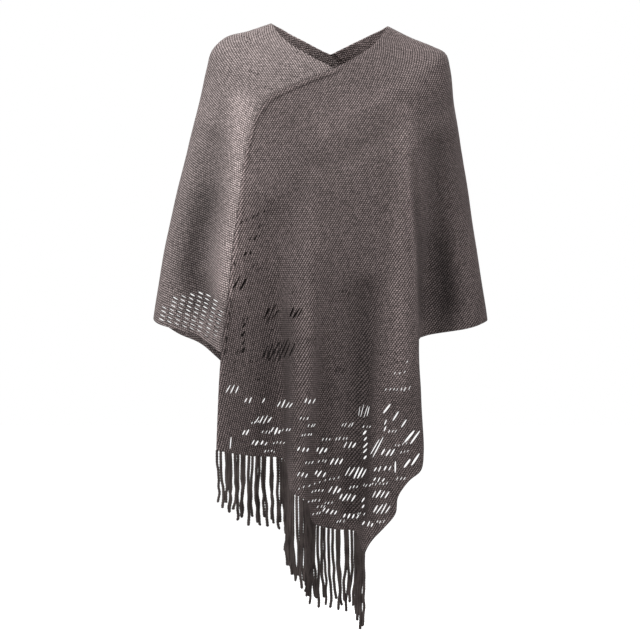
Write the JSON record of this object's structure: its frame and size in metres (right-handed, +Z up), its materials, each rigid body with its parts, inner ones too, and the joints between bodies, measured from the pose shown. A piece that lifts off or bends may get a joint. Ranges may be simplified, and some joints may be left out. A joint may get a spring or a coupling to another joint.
{
  "type": "knitted poncho sweater",
  "caption": "Knitted poncho sweater with a V neck, wrapped front, openwork lower front and sleeve edge, and a slanted fringed front hem, hanging in its worn shape.",
  "frame": {"origin": "midway between the two shoulders, at the height where the shoulders carry the garment", "axes": "+Z up, -Y towards the front of the garment, +X to the right as the front is looked at"},
  "size_m": [0.5606, 0.2853, 1.0152],
  "materials": {
    "knit": "matt knitted yarn, slightly fuzzy",
    "fringe_yarn": "matt twisted yarn"
  },
  "bodies": {
    "root": {"right_panel": "knit", "left_panel": "knit", "fringe": "fringe_yarn"}
  },
  "joints": []
}
